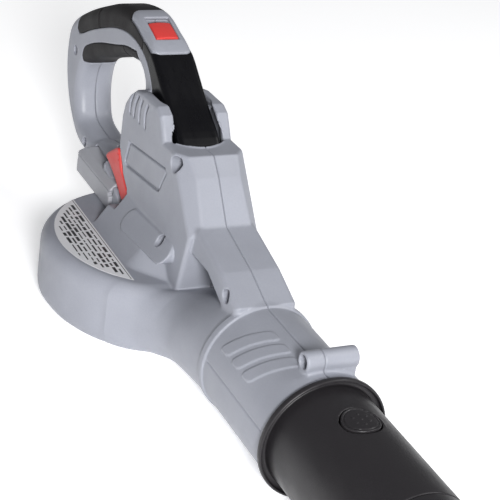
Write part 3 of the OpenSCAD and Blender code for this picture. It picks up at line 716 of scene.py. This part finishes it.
def rounded_profile(points, radius, steps=5):
    """A closed profile with every corner turned into a small arc."""
    p = np.array(points, float)
    made = []
    for a, b, c in zip(np.roll(p, 1, 0), p, np.roll(p, -1, 0)):
        reach = min(radius, 0.45 * np.linalg.norm(a - b), 0.45 * np.linalg.norm(c - b))
        start = b + (a - b) / np.linalg.norm(a - b) * reach
        end = b + (c - b) / np.linalg.norm(c - b) * reach
        for t in np.linspace(0, 1, steps):
            made.append((1 - t) ** 2 * start + 2 * t * (1 - t) * b + t * t * end)
    return made


# ---------- the pieces ----------
def make_housing(mats):
    """The two housing halves, parted at y = 0 with a fine seam."""
    low, high = (-197.5, -91.5, -1.5), (255.5, 75.5, 200.5)
    X, Y, Z = cells(low, high, VOXEL)
    outer = shell(X, Y, Z)
    d = details(X, Y, Z, outer)
    d = cut_inlays(X, Y, Z, d)
    d = np.maximum(d, -hollow(X, Y, Z, outer))
    d = np.maximum(d, -openings(X, Y, Z))
    for name, side in (("housing_right", 1), ("housing_left", -1)):
        part = side * Y + 0.03
        half = np.maximum(d, part)
        seam = (outer + part + 0.45) / math.sqrt(2)
        half = np.maximum(half, seam)
        made = surface(name + "_shell", half, low, VOXEL, mats["housing_grey"])
        place(made, "housing", "housing_grey", name)


def make_inlays(mats):
    """The gloss panel, the switch's bezel and the two rubber pads."""
    def pad_groove(X, Y, Z, d):
        slit = np.abs((X + 131) * 0.93 + (Z - 181) * 0.37) - 1.3
        return cut(d, np.maximum(slit, -(loop(X, Y, Z) + 1.5)), 0.3)

    def thin_line(X, Y, Z, d):
        arc = np.abs(np.sqrt((X + 62) ** 2 + (Z - 176) ** 2) - 14) - 0.5
        return cut(d, np.maximum(arc, -(loop(X, Y, Z) + 0.7)), 0.2)

    def switch_window(X, Y, Z, d):
        return cut(d, switch_opening(X, Y, Z), 0.8)

    for node, slot, region, low, high, groove in (
            ("switch_bezel", "housing_grey", bezel_region, (-74, -18, 168), (-18, 18, 202), switch_window),
            ("top_panel", "panel_black", panel_region, (-43, -18, 122), (52, 18, 200), None),
            ("grip_pad_top", "rubber_black", top_pad_region, (-176, -18, 138), (-37, 18, 202), pad_groove),
            ("grip_pad_under", "rubber_black", under_pad_region, (-160, -18, 118), (-42, 18, 176),
             thin_line)):
        field = inlay(region, low, high, groove)
        place(surface(node + "_skin", field, low, FINE, mats[slot]), "housing", slot, node)


def make_label(mats):
    """A pale sticker on the scroll, printed with plain bars."""
    radius, chord, top = 80.5, -48.5, FAN_H + 0.32
    reach = math.sqrt(radius ** 2 - chord ** 2) - 1
    angles = np.linspace(math.atan2(chord, -reach), math.atan2(chord, reach), 96)
    rim = [(radius * math.cos(a), radius * math.sin(a)) for a in angles]
    points, faces = [], []
    for z in (FAN_H + 0.02, top):
        points += [(x, y, z) for x, y in rim] + [(x, chord, z) for x, y in rim]
    n = len(rim)
    for k in range(n - 1):
        faces += [(2 * n + k, 2 * n + k + 1, 3 * n + k + 1, 3 * n + k), (k + 1, k, n + k, n + k + 1),
                  (k, k + 1, 2 * n + k + 1, 2 * n + k), (n + k + 1, n + k, 3 * n + k, 3 * n + k + 1)]
    faces += [(n, 0, 2 * n, 3 * n), (n - 1, 2 * n - 1, 4 * n - 1, 3 * n - 1)]
    sheet = mesh_object("label_sheet", np.array(points) * MM, np.array(faces), mats["label_pale"])
    place(flat_sided(sheet), "housing", "label_pale", "rating_label")
    rng = np.random.default_rng(7)
    bars = []
    for row, y in enumerate(np.arange(-53.0, -76.0, -3.4)):
        half = math.sqrt(radius ** 2 - (abs(y) + 2.5) ** 2) - 4
        x = -half
        while x < half - 2:
            long = min(rng.uniform(3, 11), half - x)
            bars.append((x, x + long, y, rng.choice([0.5, 0.7, 1.1])))
            x += long + rng.uniform(1.2, 3.2)
    bars.append((-62.0, 62.0, chord - 1.4, 0.25))
    points, faces = [], []
    for x0, x1, y, half in bars:
        start = len(points)
        for z in (top, top + 0.03):
            points += [(x0, y - half, z), (x1, y - half, z), (x1, y + half, z), (x0, y + half, z)]
        for a, b, c, e in ((4, 5, 6, 7), (3, 2, 1, 0), (0, 1, 5, 4), (1, 2, 6, 5), (2, 3, 7, 6),
                           (3, 0, 4, 7)):
            faces.append((start + a, start + b, start + c, start + e))
    ink = mesh_object("label_print", np.array(points) * MM, np.array(faces), mats["label_ink"])
    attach(flat_sided(ink), "housing")


def make_switch(mats):
    """The red switch: a domed cap and the stem under it."""
    low, high = (-58, -10, 176), (-28, 10, 200)
    X, Y, Z = cells(low, high, FINE)
    u, w = switch_axes(X, Z)
    crown = w - 5.6 + 0.012 * Y * Y + 0.006 * (u - 0.5) ** 2
    d = both(box(u, Y, w, (-9.5, -8.7, -2), (10, 8.7, 8), 1.2), crown, 1.0)
    d = np.minimum(d, box(u, Y, w, (-3, -3, -6), (3, 3, 0), 0.5))
    cap = surface("switch_cap", d, low, FINE, mats["red_plastic"])
    place(cap, "switch_slider", "red_plastic", "power_switch")


def make_latch(mats):
    """The red lever with its finger ridges, its pin and the two pieces of its arm."""
    low, high = (-66, -29, 65), (-14, 14, 106)
    X, Y, Z = cells(low, high, FINE)
    flat = side_view(LATCH, X, Z)
    face = -26.8 + 1.1 * ease(Z, 92, 84)
    d = both(flat, np.maximum(face - Y, Y + 22.4), 1.3)
    for k in range(4):
        ridge = np.abs((X + 52) * 0.55 - (Z - 92) * 0.83 + 4.2 * k - 5) - 0.55
        d = cut(d, np.maximum(np.maximum(ridge, Y + 26.1), -(flat + 3)), 0.2)
    d = np.minimum(d, rod_y(X, Y, Z, *LATCH_PIN, -23.4, 12, 2.5, 0.4))
    d = np.minimum(d, box(X, Y, Z, (-44, -21, 68.5), (-23, -14, 71.5), 0.4))
    d = np.minimum(d, box(X, Y, Z, (-30, -23.4, 68.5), (-23, -19, 73), 0.4))
    lever = surface("latch_lever", d, low, FINE, mats["red_plastic"])
    place(lever, "latch", "red_plastic", "battery_latch")


def make_battery(mats):
    """The two cases of the battery pack, chamfered along the top, with its guide grooves."""
    low, high = (PACK_X[0] - 1.5, -31, 51), (PACK_X[1] + 1.5, 31, 75.5)
    X, Y, Z = cells(low, high, FINE)
    outer = box(X, Y, Z, (PACK_X[0], -29.5, PACK_Z[0]), (PACK_X[1], 29.5, PACK_Z[1]), 1.3)
    slope = (np.abs(Y) - 29.5 + Z - PACK_Z[1] + 5) / math.sqrt(2)
    outer = both(outer, slope, 0.8)
    rear = ((PACK_X[0] - X) + (Z - PACK_Z[1]) + 3.5) / math.sqrt(2)
    outer = both(outer, rear, 0.8)
    inner_low = (PACK_X[0] + 3.5, -27.8, PACK_Z[0] + 1.5)
    inner_high = (PACK_X[1] - 4.7, 27.8, PACK_Z[1] - 1.5)
    inner = box(X, Y, Z, inner_low, inner_high, 0.3)
    inner = np.maximum(inner, np.maximum(slope, rear) + 1.4)
    d = cut(outer, inner)
    for groove_low, groove_high in (
            ((PACK_X[0] - 3, -40, 63.6), (PACK_X[0] + 1.4, 40, 66.4)),
            ((PACK_X[1] - 2, -40, 63.6), (PACK_X[1] + 3, 40, 66.4)),
            ((PACK_X[1] - 3.4, -22, 64), (PACK_X[1] + 3, 40, 72.6))):
        d = np.maximum(d, -box(X, Y, Z, groove_low, groove_high))
    for node, side in (("battery_lower_case", 1), ("battery_upper_case", -1)):
        part = side * (Z - 67.4) + 0.03
        half = np.maximum(d, np.maximum(part, (outer + part + 0.6) / math.sqrt(2)))
        place(surface(node + "_shell", half, low, FINE, mats["pack_grey"]), "battery_pack", "pack_grey", node)


def make_tubes(mats):
    """The rear tube with its flange, spigot and button recess, and the front tube."""
    low, high = (171, -44.5, -1), (407, 44.5, 87.5)
    step = FINE * 1.25
    X, Y, Z = cells(low, high, step)
    from_axis = off_axis(Y, Z)
    d = rod_x(X, Y, Z, *REAR_TUBE_X, TUBE_R, 0.5)
    flange = rod_x(X, Y, Z, *FLANGE_X, FLANGE_R, 1.4)
    lip_gap = np.maximum(np.abs(from_axis - 39.35) - 1.9, 255.2 - X)
    d = np.minimum(d, cut(flange, lip_gap, 0.4))
    d = np.minimum(d, rod_x(X, Y, Z, *SPIGOT_X, SPIGOT_R, 0.5))
    d = np.maximum(d, np.where(X > SPIGOT_X[0] + 1, SPIGOT_IN_R, TUBE_IN_R) - from_axis)
    reach = np.sqrt((X - BUTTON_X) ** 2 + Y * Y)
    d = np.minimum(d, np.maximum(reach - 14.5, np.abs(Z - 74.75) - 3.7))
    d = cut(d, np.maximum(reach - RECESS_R, RECESS_FLOOR - Z), 0.3)
    d = np.maximum(d, -np.maximum(reach - PIN_HOLE_R, 60 - Z))
    d = np.maximum(d, -box(X, Y, Z, (242, -2.7, 63), (249, 2.7, 83)))
    along = np.maximum(SEAL_GROOVE_X[0] - X, X - SEAL_GROOVE_X[1])
    d = np.maximum(d, -np.maximum(along, TUBE_R - SEAL_GROOVE_DEPTH - from_axis))
    rear = surface("rear_tube_shell", d, low, step, mats["tube_charcoal"])
    place(rear, "rear_pipe", "tube_charcoal", "rear_tube")
    start, end = FRONT_TUBE_X
    profile = rounded_profile([(start, TUBE_IN_R), (start, TUBE_R), (END_RING_X, TUBE_R),
                               (END_RING_X + 1, END_RING_R), (end, END_RING_R), (end, TUBE_IN_R)], 1.1)
    front = lathe("front_tube_shell", profile, mats["tube_charcoal"])
    place(front, "front_pipe", "tube_charcoal", "front_tube")


def make_button(mats):
    """The round release button: ring groove, raised dots, pin, and the arm with its catch."""
    step, margin = FINE * 0.7, 1.2
    node_low, node_high = (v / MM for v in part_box("tube_button"))
    low = tuple(v - margin for v in node_low)
    high = tuple(v + margin for v in node_high)
    X, Y, Z = cells(low, high, step)
    reach = np.sqrt((X - BUTTON_X) ** 2 + Y * Y)
    top = off_axis(Y, Z)
    d = both(reach - BUTTON_R, np.maximum(top - 38.2, 76 - Z), 0.7)
    ring = np.abs(reach - 10.3) - 0.35
    d = cut(d, np.maximum(ring, 37.6 - top), 0.2)
    dot_top = np.maximum(top - 38.65, 76 - Z)
    for k in range(6):
        a = math.radians(60 * k)
        dot = np.sqrt((X - BUTTON_X - 5 * math.cos(a)) ** 2 + (Y - 5 * math.sin(a)) ** 2) - 0.8
        d = either(d, both(dot, dot_top, 0.3), 0.2)
    d = either(d, both(reach - 0.8, dot_top, 0.3), 0.2)
    d = np.minimum(d, both(reach - 3.2, np.maximum(68.5 - Z, Z - 77), 0.4))
    d = np.minimum(d, box(X, Y, Z, (243.6, -2.2, 68.6), (BUTTON_X, 2.2, 70.6), 0.4))
    d = np.minimum(d, box(X, Y, Z, (243.6, -2.2, 69.5), (247.4, 2.2, 81.1), 0.4))
    cap = surface("button_cap", d, low, step, mats["tube_charcoal"])
    place(cap, "release_button", "tube_charcoal", "tube_button")


def dress_cad_nodes(mats):
    """Every CAD node that stays gets the material of its slot."""
    for part in frame["record"]["subparts"]:
        thing = frame["nodes"][part["node"]]
        material = mats[part["material_slot"]]
        if not thing.material_slots:
            thing.data.materials.append(material)
        for slot in thing.material_slots:
            slot.material = material


add_camera()
materials = make_materials()
dress_cad_nodes(materials)
make_housing(materials)
make_inlays(materials)
make_label(materials)
make_switch(materials)
make_latch(materials)
make_battery(materials)
make_tubes(materials)
make_button(materials)
add_world()
add_floor()
add_light("key", (1.55, -0.5, 0.72), (0.05, 0, 0.09), 0.35, 36)
add_light("fill", (-0.2, -1.6, 0.6), (0.05, 0, 0.05), 1.0, 0.8)
add_light("top", (0.6, 1.2, 1.4), (0.05, 0, 0.09), 0.9, 13)
